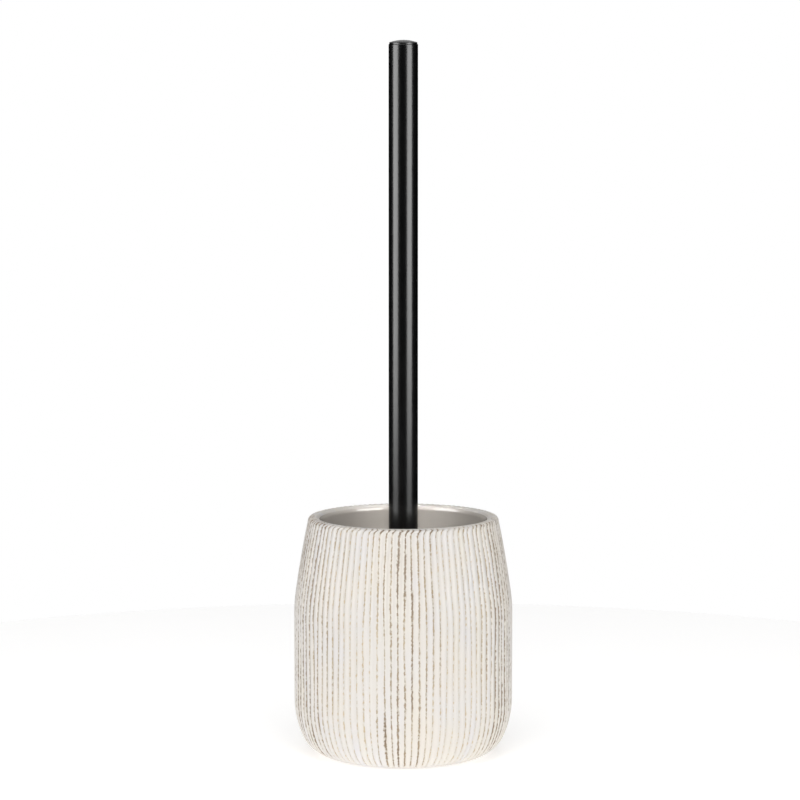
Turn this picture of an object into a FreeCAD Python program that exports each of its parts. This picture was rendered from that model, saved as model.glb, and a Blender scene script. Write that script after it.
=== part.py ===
import FreeCAD, Part
import math
import os
import Sketcher

# A toilet brush holder: a slip-cast ceramic pot on four pads, and a tufted brush that
# stands in it on a tubular handle. The handle screws onto the brush head with a stud.
# Millimetres, +Z up. The origin is on the floor, under the middle of the pot.

# Name, value and meaning of every driving dimension.
SIZES = (
    ("pad_radius", 5, "foot pad, radius"),
    ("pad_thickness", 2, "foot pad, thickness"),
    ("pad_stand", 0.5, "how far the pads hold the pot's foot ring off the floor"),
    ("pad_margin", 1.5, "foot pad to the wall of the recess it is stuck in"),
    ("pad_edge", 0.4, "foot pad, rounding of its lower edge"),
    ("pot_height", 132.4, "pot, foot ring to rim"),
    ("pot_wall", 7, "pot, wall and floor"),
    ("belly_radius", 60.2, "pot, outer radius at the belly"),
    ("belly_length", 47, "pot, straight part of the belly"),
    ("foot_arc", 18.8, "pot, radius of the turn from foot to flank"),
    ("flank_arc", 50, "pot, radius of the flank below the belly"),
    ("flank_turn", 24, "pot, degrees that the flank turns through"),
    ("shoulder_arc", 90, "pot, radius of the shoulder above the belly"),
    ("shoulder_turn", 7.9, "pot, degrees that the shoulder turns through"),
    ("neck_arc", 600, "pot, radius of the long curve from shoulder to rim"),
    ("rim_outer_round", 1.2, "pot, rounding of the rim's outer edge"),
    ("rim_inner_round", 3, "pot, rounding of the rim's inner edge"),
    ("foot_ring_width", 4, "pot, width of the foot ring"),
    ("standing_gap", 0.3, "pot floor to the lowest bristle tip"),
    ("barrel_radius", 12.5, "brush core, radius of barrel and domed end"),
    ("barrel_length", 42, "brush core, straight part of the barrel"),
    ("neck_length", 14, "brush core, length of the neck"),
    ("neck_round", 2, "brush core, rounding where barrel meets neck"),
    ("hole_radius", 1.3, "tuft hole, radius"),
    ("hole_depth", 4, "tuft hole, depth"),
    ("row_rise", 6, "spacing of the tuft rows along the barrel"),
    ("first_row", 2, "lowest barrel row above the centre of the domed end"),
    ("dome_step", 24, "degrees between the tuft rows of the domed end"),
    ("tuft_pitch", 5.6, "least spacing of the tufts round the core"),
    ("tuft_clearance", 0.03, "tuft to the wall of its hole"),
    ("tuft_tip_radius", 2.8, "radius that a tuft fans out to at its tips"),
    ("mouth_gap", 6.93, "bristle tips of the barrel rows to the inside of the pot's rim"),
    ("dome_inset", 2, "bristle tips of the domed end nearer to its centre than the barrel's to the axis"),
    ("anchor_width", 2.2, "tuft anchor, width across the hole"),
    ("anchor_thickness", 0.5, "tuft anchor, thickness"),
    ("anchor_height", 1.2, "tuft anchor, height from the bottom of the hole"),
    ("stud_radius", 4, "stud, radius over the thread"),
    ("stud_bite", 12, "stud, length in the brush core and again in the handle"),
    ("stud_chamfer", 0.8, "stud, chamfer of both ends"),
    ("thread_clearance", 0.05, "stud to the wall of its holes"),
    ("bore_run_out", 1, "brush core, bore past the end of the stud"),
    ("tube_radius", 8, "handle tube, outer radius"),
    ("tube_wall", 1, "handle tube, wall"),
    ("tube_length", 289.5, "handle tube, length"),
    ("tube_edge", 0.4, "handle tube, rounding of both ends"),
    ("plug_clearance", 0.05, "end pieces to the bore of the handle tube"),
    ("insert_flange", 2, "thread insert, flange under the tube"),
    ("insert_roof", 3, "thread insert, solid end above the stud"),
    ("cap_plug", 10, "end cap, length inside the tube"),
    ("cap_wall", 1.2, "end cap, wall of the plug and the dome"),
    ("cap_side", 0.9, "end cap, height of its edge above the tube"),
    ("cap_dome", 22.5, "end cap, radius of the dome"),
    ("cap_edge", 0.25, "end cap, rounding of its edge"),
)

PAD_COUNT = 4
BARREL_ROWS = 7
DOME_ROWS = 3
TOLERANCE = 1e-4

# The pot's outline, as expressions over the sheet of sizes: heights from its foot ring,
# and the centre of the long neck curve, from which the rim's two radii follow.
FLANK_INSET = "dims.flank_arc * (1 - cos(dims.flank_turn))"
FOOT_FLAT = f"(dims.belly_radius - {FLANK_INSET} - dims.foot_arc * cos(dims.flank_turn))"
FLANK_HEIGHT = "(dims.foot_arc * (1 - sin(dims.flank_turn)))"
BELLY_LOW = f"({FLANK_HEIGHT} + dims.flank_arc * sin(dims.flank_turn))"
BELLY_HIGH = f"({BELLY_LOW} + dims.belly_length)"
SHOULDER_CENTRE = "(dims.belly_radius - dims.shoulder_arc)"
NECK_SHIFT = "(dims.neck_arc - dims.shoulder_arc)"
NECK_CENTRE = f"({SHOULDER_CENTRE} - {NECK_SHIFT} * cos(dims.shoulder_turn))"
NECK_DROP = f"(dims.pot_height - {BELLY_HIGH} + {NECK_SHIFT} * sin(dims.shoulder_turn))"
INNER_NECK = "(dims.neck_arc - dims.pot_wall)"
RIM_OUTER = f"({NECK_CENTRE} + sqrt(dims.neck_arc^2 - {NECK_DROP}^2))"
RIM_INNER = f"({NECK_CENTRE} + sqrt({INNER_NECK}^2 - {NECK_DROP}^2))"
RECESS_RADIUS = f"({FOOT_FLAT} - dims.foot_ring_width)"
RECESS_DEPTH = "(dims.pad_thickness - dims.pad_stand)"

# The head passes through the pot's mouth and stands on its floor.
BARREL_REACH = f"({RIM_INNER} - dims.mouth_gap)"
DOME_REACH = f"({BARREL_REACH} - dims.dome_inset)"

# Heights of the stack from the floor up.
POT_BASE = "dims.pad_stand"
POT_FLOOR = f"({POT_BASE} + dims.pot_wall)"
DOME_CENTRE = f"({POT_FLOOR} + dims.standing_gap + {DOME_REACH})"
CORE_BOTTOM = f"({DOME_CENTRE} - dims.barrel_radius)"
SEAT = f"({DOME_CENTRE} + dims.barrel_length + dims.neck_length)"
TUBE_BOTTOM = f"({SEAT} + dims.insert_flange)"
TUBE_TOP = f"({TUBE_BOTTOM} + dims.tube_length)"

# Radii that two pieces share.
TUBE_BORE = "(dims.tube_radius - dims.tube_wall)"
PLUG_RADIUS = f"({TUBE_BORE} - dims.plug_clearance)"
FLANGE_RADIUS = "(dims.tube_radius - dims.tube_edge)"
THREAD_BORE = "(dims.stud_radius + dims.thread_clearance)"

doc = FreeCAD.newDocument("ToiletBrushHolder")
sheet = doc.addObject("Spreadsheet::Sheet", "dims")
sub_parts = []


def fill_sheet():
    """Write the driving dimensions into the sheet, one row each."""
    for row, (name, number, meaning) in enumerate(SIZES, start=1):
        sheet.set(f"A{row}", name)
        sheet.set(f"B{row}", str(number))
        sheet.set(f"C{row}", meaning)
        sheet.setAlias(f"B{row}", name)
    doc.recompute()


def value(expression):
    """The number that an expression over the sheet comes to."""
    return float(sheet.evalExpression(expression))


# ---------------------------------------------------------------- modelling helpers


def new_body(label):
    """A body for one sub-part, whose label names its file."""
    body = doc.addObject("PartDesign::Body", label)
    body.Label = label
    sub_parts.append(body)
    return body


def place(body, height, turn="0", across="0", towards="0"):
    """Bind a body's place: its height, its place beside the axis, its turn about +Z."""
    body.setExpression("Placement", f"placement(vector({across}; {towards}; {height}); rotationz({turn}))")


def origin_feature(body, role):
    """One of the planes or axes of the body's own origin."""
    return next(item for item in body.Origin.OriginFeatures if item.Role == role)


def new_sketch(body, name, role, lift="0", lean="0"):
    """An empty sketch on one of the body's origin planes.

    It is lifted along the plane's normal, and its upright axis leans by some degrees.
    """
    sketch = body.newObject("Sketcher::SketchObject", name)
    sketch.AttachmentSupport = [(origin_feature(body, role), "")]
    sketch.MapMode = "FlatFace"
    sketch.setExpression("AttachmentOffset", f"placement(vector(0; 0; {lift}); rotationz(-({lean})))")
    return sketch


def drive(sketch, kind, name, places, expression):
    """Add one dimension to a sketch and bind it to an expression."""
    index = sketch.addConstraint(Sketcher.Constraint(kind, *places, value(expression)))
    sketch.renameConstraint(index, name)
    sketch.setExpression(f"Constraints.{name}", expression)


def arc_between(start, end, radius, side):
    """The short arc from start to end: side is +1 if it turns left and -1 if right."""
    chord = end - start
    across = FreeCAD.Vector(-chord.y, chord.x, 0).normalize()
    rise = math.sqrt(radius**2 - (chord.Length / 2) ** 2)
    centre = (start + end) / 2 + across * rise * side
    ends = (start, end) if side > 0 else (end, start)
    angles = [math.atan2(point.y - centre.y, point.x - centre.x) for point in ends]
    return Part.ArcOfCircle(Part.Circle(centre, FreeCAD.Vector(0, 0, 1), radius), *angles)


def section(body, name, corners, lean="0"):
    """A closed half section in the body's XZ plane, x being the distance from the axis.

    The axis is the body's own, or leans from it towards +X. Each corner is (x, z) as
    expressions. A corner (x, z, radius, side) is reached from the one before it along an
    arc of that radius, which turns left (+1) or right (-1).
    """
    sketch = new_sketch(body, name, "XZ_Plane", "0", lean)
    count = len(corners)
    points = [FreeCAD.Vector(value(corner[0]), value(corner[1]), 0) for corner in corners]
    starts = []
    ends = []
    for index in range(count):
        following = corners[(index + 1) % count]
        start, end = points[index], points[(index + 1) % count]
        if len(following) == 2:
            sketch.addGeometry(Part.LineSegment(start, end))
            starts.append(1)
            ends.append(2)
            continue
        radius, side = following[2:]
        sketch.addGeometry(arc_between(start, end, value(radius), side))
        starts.append(1 if side > 0 else 2)
        ends.append(2 if side > 0 else 1)
        drive(sketch, "Radius", f"radius_{index}", (index,), radius)
    for index in range(count):
        before = index - 1 if index else count - 1
        joined = (before, ends[before], index, starts[index])
        sketch.addConstraint(Sketcher.Constraint("Coincident", *joined))
        straight = index > 0 and len(corners[index]) == 2
        across_and_up = ((0, -2, "DistanceX", "Vertical"), (1, -1, "DistanceY", "Horizontal"))
        for axis, along, kind, flat in across_and_up:
            expression = corners[index][axis]
            if straight and expression == corners[before][axis]:
                sketch.addConstraint(Sketcher.Constraint(flat, before))
            elif expression == "0":
                sketch.addConstraint(Sketcher.Constraint("PointOnObject", index, starts[index], along))
            else:
                place_in_sketch = (-1, 1, index, starts[index])
                drive(sketch, kind, f"{kind}_{index}", place_in_sketch, expression)
    return sketch


def circles(body, name, radii, lift="0"):
    """A sketch of circles about the body's own axis."""
    sketch = new_sketch(body, name, "XY_Plane", lift)
    for index, radius in enumerate(radii):
        circle = Part.Circle(FreeCAD.Vector(0, 0, 0), FreeCAD.Vector(0, 0, 1), value(radius))
        sketch.addGeometry(circle)
        sketch.addConstraint(Sketcher.Constraint("Coincident", index, 3, -1, 1))
        drive(sketch, "Radius", f"radius_{index}", (index,), radius)
    return sketch


def revolve(body, name, sketch):
    """Turn a half section about the body's axis."""
    feature = body.newObject("PartDesign::Revolution", name)
    feature.Profile = sketch
    feature.ReferenceAxis = (sketch, ["V_Axis"])
    feature.Angle = 360
    sketch.Visibility = False
    body.Tip = feature
    doc.recompute()
    return feature


def pad(body, name, sketch, length):
    """Raise a sketch along +Z."""
    feature = body.newObject("PartDesign::Pad", name)
    feature.Profile = sketch
    feature.setExpression("Length", length)
    sketch.Visibility = False
    body.Tip = feature
    doc.recompute()
    return feature


def pocket_down(body, name, sketch, length):
    """Cut a sketch down along -Z, and make sure that it did cut."""
    before = body.Shape.Volume
    feature = body.newObject("PartDesign::Pocket", name)
    feature.Profile = sketch
    feature.setExpression("Length", length)
    sketch.Visibility = False
    body.Tip = feature
    doc.recompute()
    if body.Shape.Volume > before - TOLERANCE:
        raise RuntimeError(f"{name} cuts nothing from {body.Label}")
    return feature


def circle_edges(feature, radius, height):
    """Names of the feature's round edges that have this radius and height."""
    names = []
    for number, edge in enumerate(feature.Shape.Edges, start=1):
        if edge.Degenerated or not isinstance(edge.Curve, Part.Circle):
            continue
        same_radius = abs(edge.Curve.Radius - value(radius)) < TOLERANCE
        same_height = abs(edge.Curve.Center.z - value(height)) < TOLERANCE
        if same_radius and same_height:
            names.append(f"Edge{number}")
    if not names:
        raise RuntimeError(f"{feature.Label} has no round edge of {radius} at {height}")
    return names


def dress(body, kind, name, edges, prop, size):
    """Round or chamfer edges of the body's last feature: kind is Fillet or Chamfer."""
    base = body.Tip
    feature = body.newObject(f"PartDesign::{kind}", name)
    feature.Base = (base, edges)
    feature.setExpression(prop, size)
    body.Tip = feature
    doc.recompute()
    return feature


# ------------------------------------------------------------------- pot and its pads


def make_pot():
    """The ceramic pot: one wall thickness from the floor to the rim, and a foot ring.

    Its outside is a foot turn, a flank, a straight belly, a shoulder and a long neck
    curve, each tangent to the next. The inside has the same centres, one wall nearer.
    """
    body = new_body("holder_pot")
    place(body, POT_BASE)
    inner_belly = "(dims.belly_radius - dims.pot_wall)"
    flank_radius = f"({FOOT_FLAT} + dims.foot_arc * cos(dims.flank_turn))"
    inner_foot = "(dims.foot_arc - dims.pot_wall)"
    inner_flank = "(dims.flank_arc - dims.pot_wall)"
    inner_shoulder = "(dims.shoulder_arc - dims.pot_wall)"

    def shoulder_end(radius):
        """Where the shoulder of this radius passes into the neck curve."""
        across = f"({SHOULDER_CENTRE} + {radius} * cos(dims.shoulder_turn))"
        return across, f"({BELLY_HIGH} + {radius} * sin(dims.shoulder_turn))"

    corners = [
        ("0", RECESS_DEPTH),
        (RECESS_RADIUS, RECESS_DEPTH),
        (RECESS_RADIUS, "0"),
        (FOOT_FLAT, "0"),
        (flank_radius, FLANK_HEIGHT, "dims.foot_arc", 1),
        ("dims.belly_radius", BELLY_LOW, "dims.flank_arc", 1),
        ("dims.belly_radius", BELLY_HIGH),
        (*shoulder_end("dims.shoulder_arc"), "dims.shoulder_arc", 1),
        (RIM_OUTER, "dims.pot_height", "dims.neck_arc", 1),
        (RIM_INNER, "dims.pot_height"),
        (*shoulder_end(inner_shoulder), INNER_NECK, -1),
        (inner_belly, BELLY_HIGH, inner_shoulder, -1),
        (inner_belly, BELLY_LOW),
        (
            f"({flank_radius} - dims.pot_wall * cos(dims.flank_turn))",
            f"({FLANK_HEIGHT} + dims.pot_wall * sin(dims.flank_turn))",
            inner_flank,
            -1,
        ),
        (FOOT_FLAT, "dims.pot_wall", inner_foot, -1),
        ("0", "dims.pot_wall"),
    ]
    cast = revolve(body, "pot_casting", section(body, "pot_section", corners))
    outer_edge = circle_edges(cast, RIM_OUTER, "dims.pot_height")
    dress(body, "Fillet", "rim_outer_rounding", outer_edge, "Radius", "dims.rim_outer_round")
    inner_edge = circle_edges(body.Tip, RIM_INNER, "dims.pot_height")
    dress(body, "Fillet", "rim_inner_rounding", inner_edge, "Radius", "dims.rim_inner_round")


def make_foot_pads():
    """Round pads stuck in the recess under the pot, just inside its foot ring."""
    circle = f"({RECESS_RADIUS} - dims.pad_margin - dims.pad_radius)"
    for number in range(1, PAD_COUNT + 1):
        turn = f"{number - 0.5} * 360 / {PAD_COUNT}"
        body = new_body(f"foot_pad_{number}")
        place(body, "0", turn, f"{circle} * cos({turn})", f"{circle} * sin({turn})")
        disc = pad(body, "disc", circles(body, "disc_outline", ["dims.pad_radius"]), "dims.pad_thickness")
        lower_edge = circle_edges(disc, "dims.pad_radius", "0")
        dress(body, "Fillet", "edge_rounding", lower_edge, "Radius", "dims.pad_edge")


# --------------------------------------------------------------------- the brush head


def tuft_rings():
    """Every ring of tufts from the barrel's top row down to the tip of the domed end.

    A ring has a name, the height of the point its tufts point away from, their tilt
    from +Z, the distance of their tips from that point, their number and their turn.
    """
    for row in range(BARREL_ROWS, 0, -1):
        height = f"({DOME_CENTRE} + dims.first_row + {row - 1} * dims.row_rise)"
        yield ring(f"row_{row}", height, "90", BARREL_REACH, row % 2)
    for row in range(1, DOME_ROWS + 1):
        tilt = f"(180 - {DOME_ROWS + 1 - row} * dims.dome_step)"
        yield ring(f"dome_{row}", DOME_CENTRE, tilt, DOME_REACH, row % 2)
    yield {
        "name": "tip",
        "height": DOME_CENTRE,
        "tilt": "180",
        "reach": DOME_REACH,
        "count": None,
        "turn": "0",
    }


def ring(name, height, tilt, reach, shifted):
    """One ring of tufts; a shifted ring is turned by half the spacing of its tufts."""
    count = f"floor(2 * pi * dims.barrel_radius * sin({tilt}) / dims.tuft_pitch)"
    turn = f"(180 / {count})" if shifted else "0"
    return {"name": name, "height": height, "tilt": tilt, "reach": reach, "count": count, "turn": turn}


def spoke(body, kind, name, tufts, start, centre, turn="0", aside="0", along="0"):
    """A primitive whose +Z points outwards along a tuft, from start mm off the centre.

    aside and along shift it back by those amounts in its own X and Y.
    """
    tilt = tufts["tilt"]
    feature = body.newObject(f"PartDesign::{kind}", name)
    feature.AttachmentSupport = [(origin_feature(body, "XY_Plane"), "")]
    feature.MapMode = "FlatFace"
    turned = f"rotationz({turn}) * rotationy({tilt})"
    shift = f"{turned} * vector(-({aside}); -({along}); {start})"
    feature.setExpression("AttachmentOffset", f"placement(vector(0; 0; {centre}) + {shift}; {turned})")
    return feature


def repeat(body, name, features, count):
    """Repeat features round the body's axis, and make the pattern the body's tip."""
    pattern = body.newObject("PartDesign::PolarPattern", name)
    pattern.Originals = features
    pattern.Axis = (origin_feature(body, "Z_Axis"), [""])
    pattern.Angle = 360
    pattern.setExpression("Occurrences", count)
    body.Tip = pattern
    return pattern


def make_brush_core():
    """The moulded core: a barrel with a domed end, a neck as wide as the handle with the
    stud's bore in it, and the holes of every ring of tufts."""
    body = new_body("brush_core")
    place(body, CORE_BOTTOM)
    barrel_top = "(dims.barrel_radius + dims.barrel_length)"
    neck_top = f"({barrel_top} + dims.neck_length)"
    corners = [
        ("0", "0"),
        ("dims.barrel_radius", "dims.barrel_radius", "dims.barrel_radius", 1),
        ("dims.barrel_radius", barrel_top),
        ("dims.tube_radius", barrel_top),
        ("dims.tube_radius", neck_top),
        ("0", neck_top),
    ]
    moulding = revolve(body, "core_moulding", section(body, "core_section", corners))
    neck_root = circle_edges(moulding, "dims.tube_radius", barrel_top)
    shoulder = circle_edges(moulding, "dims.barrel_radius", barrel_top)
    half_step = "0.48 * (dims.barrel_radius - dims.tube_radius)"
    rounding = f"min(dims.neck_round; {half_step})"
    dress(body, "Fillet", "neck_rounding", neck_root + shoulder, "Radius", rounding)
    mouth = circles(body, "bore_outline", [THREAD_BORE], neck_top)
    pocket_down(body, "stud_bore", mouth, "dims.stud_bite + dims.bore_run_out")
    for tufts in tuft_rings():
        centre = f"{tufts['height']} - {CORE_BOTTOM}"
        floor = "dims.barrel_radius - dims.hole_depth"
        hole = spoke(
            body, "SubtractiveCylinder", f"hole_{tufts['name']}", tufts, floor, centre, tufts["turn"]
        )
        hole.setExpression("Radius", "dims.hole_radius")
        hole.setExpression("Height", "dims.hole_depth + dims.hole_radius")
        body.Tip = hole
        if tufts["count"]:
            repeat(body, f"holes_{tufts['name']}", [hole], tufts["count"])
    doc.recompute()


def make_tufts():
    """The tufts of each ring: a root packed in its hole and a fan of bristles outside."""
    root_radius = "(dims.hole_radius - dims.tuft_clearance)"
    root_start = "(dims.barrel_radius - dims.hole_depth + dims.anchor_height)"
    for tufts in tuft_rings():
        body = new_body(f"bristle_{tufts['name']}")
        place(body, tufts["height"], tufts["turn"])
        corners = [
            ("0", root_start),
            (root_radius, root_start),
            (root_radius, "dims.barrel_radius"),
            ("dims.tuft_tip_radius", tufts["reach"]),
            ("0", tufts["reach"]),
        ]
        tuft = revolve(body, "tuft", section(body, "tuft_section", corners, tufts["tilt"]))
        if tufts["count"]:
            repeat(body, "tufts", [tuft], tufts["count"])


def make_anchors():
    """The flat metal anchors at the bottom of the holes, which hold the folded tufts."""
    for tufts in tuft_rings():
        body = new_body(f"anchors_{tufts['name']}")
        place(body, tufts["height"], tufts["turn"])
        floor = "dims.barrel_radius - dims.hole_depth"
        half_sizes = ("dims.anchor_thickness / 2", "dims.anchor_width / 2")
        strip = spoke(body, "AdditiveBox", "strip", tufts, floor, "0", "0", *half_sizes)
        strip.setExpression("Length", "dims.anchor_thickness")
        strip.setExpression("Width", "dims.anchor_width")
        strip.setExpression("Height", "dims.anchor_height")
        body.Tip = strip
        if tufts["count"]:
            repeat(body, "strips", [strip], tufts["count"])


# ------------------------------------------------------------------ stud and handle


def make_stud():
    """The steel stud that joins handle and brush head; a plain rod over its thread."""
    body = new_body("threaded_stud")
    place(body, f"{SEAT} - dims.stud_bite")
    length = "2 * dims.stud_bite"
    rod = pad(body, "rod", circles(body, "rod_outline", ["dims.stud_radius"]), length)
    lower_end = circle_edges(rod, "dims.stud_radius", "0")
    upper_end = circle_edges(rod, "dims.stud_radius", length)
    dress(body, "Chamfer", "end_chamfers", lower_end + upper_end, "Size", "dims.stud_chamfer")


def make_thread_insert():
    """The insert pressed into the lower end of the tube, which holds the stud."""
    body = new_body("thread_insert")
    place(body, SEAT)
    top = "(dims.stud_bite + dims.insert_roof)"
    corners = [
        (THREAD_BORE, "0"),
        (FLANGE_RADIUS, "0"),
        (FLANGE_RADIUS, "dims.insert_flange"),
        (PLUG_RADIUS, "dims.insert_flange"),
        (PLUG_RADIUS, top),
        ("0", top),
        ("0", "dims.stud_bite"),
        (THREAD_BORE, "dims.stud_bite"),
    ]
    revolve(body, "turned_insert", section(body, "insert_section", corners))


def make_handle_tube():
    """The metal tube of the handle, with the outer edges of both ends rounded."""
    body = new_body("handle_tube")
    place(body, TUBE_BOTTOM)
    outline = circles(body, "tube_outline", ["dims.tube_radius", TUBE_BORE])
    tube = pad(body, "tube", outline, "dims.tube_length")
    lower_end = circle_edges(tube, "dims.tube_radius", "0")
    upper_end = circle_edges(tube, "dims.tube_radius", "dims.tube_length")
    dress(body, "Fillet", "end_roundings", lower_end + upper_end, "Radius", "dims.tube_edge")


def make_end_cap():
    """The domed cap that closes the top of the tube, with a hollow plug inside it."""
    body = new_body("handle_end_cap")
    place(body, f"{TUBE_TOP} - dims.cap_plug")
    hollow = f"({PLUG_RADIUS} - dims.cap_wall)"
    side_top = "(dims.cap_plug + dims.cap_side)"
    dome_rise = f"(dims.cap_dome - sqrt(dims.cap_dome^2 - {FLANGE_RADIUS}^2))"
    roof = "(dims.cap_plug - dims.cap_wall)"
    corners = [
        (hollow, "0"),
        (PLUG_RADIUS, "0"),
        (PLUG_RADIUS, "dims.cap_plug"),
        (FLANGE_RADIUS, "dims.cap_plug"),
        (FLANGE_RADIUS, side_top),
        ("0", f"({side_top} + {dome_rise})", "dims.cap_dome", 1),
        ("0", roof),
        (hollow, roof),
    ]
    moulding = revolve(body, "cap_moulding", section(body, "cap_section", corners))
    edge = circle_edges(moulding, FLANGE_RADIUS, side_top)
    dress(body, "Fillet", "edge_rounding", edge, "Radius", "dims.cap_edge")


# ------------------------------------------------------------------- check and export


def check_document():
    """Stop if anything failed to build: nothing is written from a broken document."""
    for item in doc.Objects:
        if "Invalid" in item.State or "Error" in item.State:
            raise RuntimeError(f"{item.Label} did not build: {item.State}")
    for body in sub_parts:
        if body.Shape.isNull() or not body.Shape.isValid() or not body.Shape.Solids:
            raise RuntimeError(f"{body.Label} has no valid solid")


def export_parts():
    """Write each sub-part to its own STEP file."""
    os.makedirs("parts", exist_ok=True)
    for body in sub_parts:
        body.Shape.exportStep(os.path.join("parts", f"{body.Label}.step"))
        box = body.Shape.BoundBox
        solids = len(body.Shape.Solids)
        print(f"{body.Label}: {solids} solids, z {box.ZMin:.2f} to {box.ZMax:.2f}")


fill_sheet()
make_pot()
make_foot_pads()
make_brush_core()
make_tufts()
make_anchors()
make_stud()
make_thread_insert()
make_handle_tube()
make_end_cap()
doc.recompute()
check_document()
export_parts()
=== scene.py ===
import math

import bmesh
import bpy
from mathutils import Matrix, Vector


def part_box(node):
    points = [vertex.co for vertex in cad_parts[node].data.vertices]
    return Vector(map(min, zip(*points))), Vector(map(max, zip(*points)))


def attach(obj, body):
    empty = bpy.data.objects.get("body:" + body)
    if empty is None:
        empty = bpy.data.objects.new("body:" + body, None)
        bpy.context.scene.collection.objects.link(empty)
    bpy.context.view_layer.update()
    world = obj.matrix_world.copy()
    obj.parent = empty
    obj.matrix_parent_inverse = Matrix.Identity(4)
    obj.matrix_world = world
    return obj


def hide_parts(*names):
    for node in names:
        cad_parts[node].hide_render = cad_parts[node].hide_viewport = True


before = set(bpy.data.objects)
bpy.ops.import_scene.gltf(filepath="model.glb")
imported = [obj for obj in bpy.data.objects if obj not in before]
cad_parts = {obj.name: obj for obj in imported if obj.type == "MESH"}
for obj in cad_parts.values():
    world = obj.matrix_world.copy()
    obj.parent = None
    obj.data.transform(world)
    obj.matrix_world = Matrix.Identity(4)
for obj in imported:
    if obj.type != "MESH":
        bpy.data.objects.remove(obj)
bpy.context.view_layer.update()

# ============================================================ the studio
# A long lens a little above the rim, on a white ground. Tall soft boxes at the sides are
# mirrored in the black tube, fills and an overhead box light the pot, a glow behind is
# mirrored in the cap, and a small gridded lamp reaches the far wall inside the pot.
LENS = 166.5
CAMERA_TILT = math.radians(90 - 6.484)

eye = bpy.data.cameras.new("camera")
camera = bpy.data.objects.new("camera", eye)
bpy.context.scene.collection.objects.link(camera)
bpy.context.scene.camera = camera
camera.location = (-0.0018, -2.0139, 0.4260)
camera.rotation_euler = (CAMERA_TILT, 0, 0)
eye.lens = LENS
eye.sensor_width = 36
eye.clip_end = 20
bpy.context.scene.view_settings.view_transform = "Standard"


def node(tree, kind, feeds=None, **settings):
    """Add one node. feeds gives its inputs by number or name: a value or an output to link."""
    made = tree.nodes.new(kind)
    for name, setting in settings.items():
        setattr(made, name, setting)
    for place, feed in (feeds or {}).items():
        if isinstance(feed, bpy.types.NodeSocket):
            tree.links.new(feed, made.inputs[place])
        else:
            made.inputs[place].default_value = feed
    return made


def soft_box(name, aim, azimuth, elevation, distance, width, height, radiance):
    """A rectangular soft box that faces aim from the given side of it, in metres and degrees."""
    light = bpy.data.lights.new(name, "AREA")
    light.shape = "RECTANGLE"
    light.size = width
    light.size_y = height
    light.energy = radiance * math.pi * width * height
    lamp = bpy.data.objects.new(name, light)
    bpy.context.scene.collection.objects.link(lamp)
    turn = math.radians(azimuth)
    rise = math.radians(elevation)
    away = Vector((math.sin(turn) * math.cos(rise), -math.cos(turn) * math.cos(rise), math.sin(rise)))
    lamp.location = Vector(aim) + away * distance
    lamp.rotation_euler = away.to_track_quat("Z", "Y").to_euler()
    lamp.visible_camera = False
    return lamp


pot_low, pot_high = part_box("holder_pot")
tall_middle = (0, 0, 0.62)
low_middle = (0, 0, 0.07)
pot_mouth = (0, 0, pot_high.z)
cap_level = (0, 0, 0.39)
far_wall = (0.002, pot_high.y * 0.76, pot_high.z - 0.026)
for name, azimuth, width in (("left", -64, 1.02), ("right", 50, 0.94)):
    gloss = soft_box("soft_box_" + name, tall_middle, azimuth, 0, distance=1.3,
                     width=width, height=1.2, radiance=7.8)
    gloss.visible_diffuse = False
    fill = soft_box("fill_" + name, tall_middle, azimuth, 0, distance=1.3,
                    width=width, height=1.2, radiance=0.9)
    fill.visible_glossy = False
    low_fill = soft_box("low_fill_" + name, low_middle, azimuth, 0, distance=1.3,
                        width=width, height=0.14, radiance=9.0)
    low_fill.visible_glossy = False
front = soft_box("fill_front", pot_mouth, 0, 38, distance=1.7, width=0.8, height=0.5, radiance=4.2)
front.visible_glossy = False
soft_box("soft_box_over", pot_mouth, 0, 66, distance=1.7, width=1.5, height=1.2, radiance=1.9)
backdrop = soft_box("glow_behind", cap_level, 180, 25, distance=1.6, width=0.6, height=1.1, radiance=0.8)
backdrop.visible_diffuse = False
inside = soft_box("gridded_inside", far_wall, 0, 50, distance=0.6, width=0.05, height=0.05, radiance=0.85)
inside.data.spread = math.radians(5.5)
inside.visible_glossy = False

# The sky is white to the lens, dim to matt surfaces and dark in reflections.
world = bpy.data.worlds.new("studio")
bpy.context.scene.world = world
world.use_nodes = True
world.node_tree.nodes.clear()
path = node(world.node_tree, "ShaderNodeLightPath")
seen = node(world.node_tree, "ShaderNodeBackground", {"Color": (1, 1, 1, 1), "Strength": 1.0})
soft = node(world.node_tree, "ShaderNodeBackground", {"Color": (1.0, 0.99, 0.98, 1), "Strength": 0.30})
dark = node(world.node_tree, "ShaderNodeBackground", {"Color": (1, 1, 1, 1), "Strength": 0.0})
matt = node(world.node_tree, "ShaderNodeMixShader",
            {0: path.outputs["Is Diffuse Ray"], 1: dark.outputs[0], 2: soft.outputs[0]})
all_rays = node(world.node_tree, "ShaderNodeMixShader",
                {0: path.outputs["Is Camera Ray"], 1: matt.outputs[0], 2: seen.outputs[0]})
node(world.node_tree, "ShaderNodeOutputWorld", {"Surface": all_rays.outputs[0]})

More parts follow.
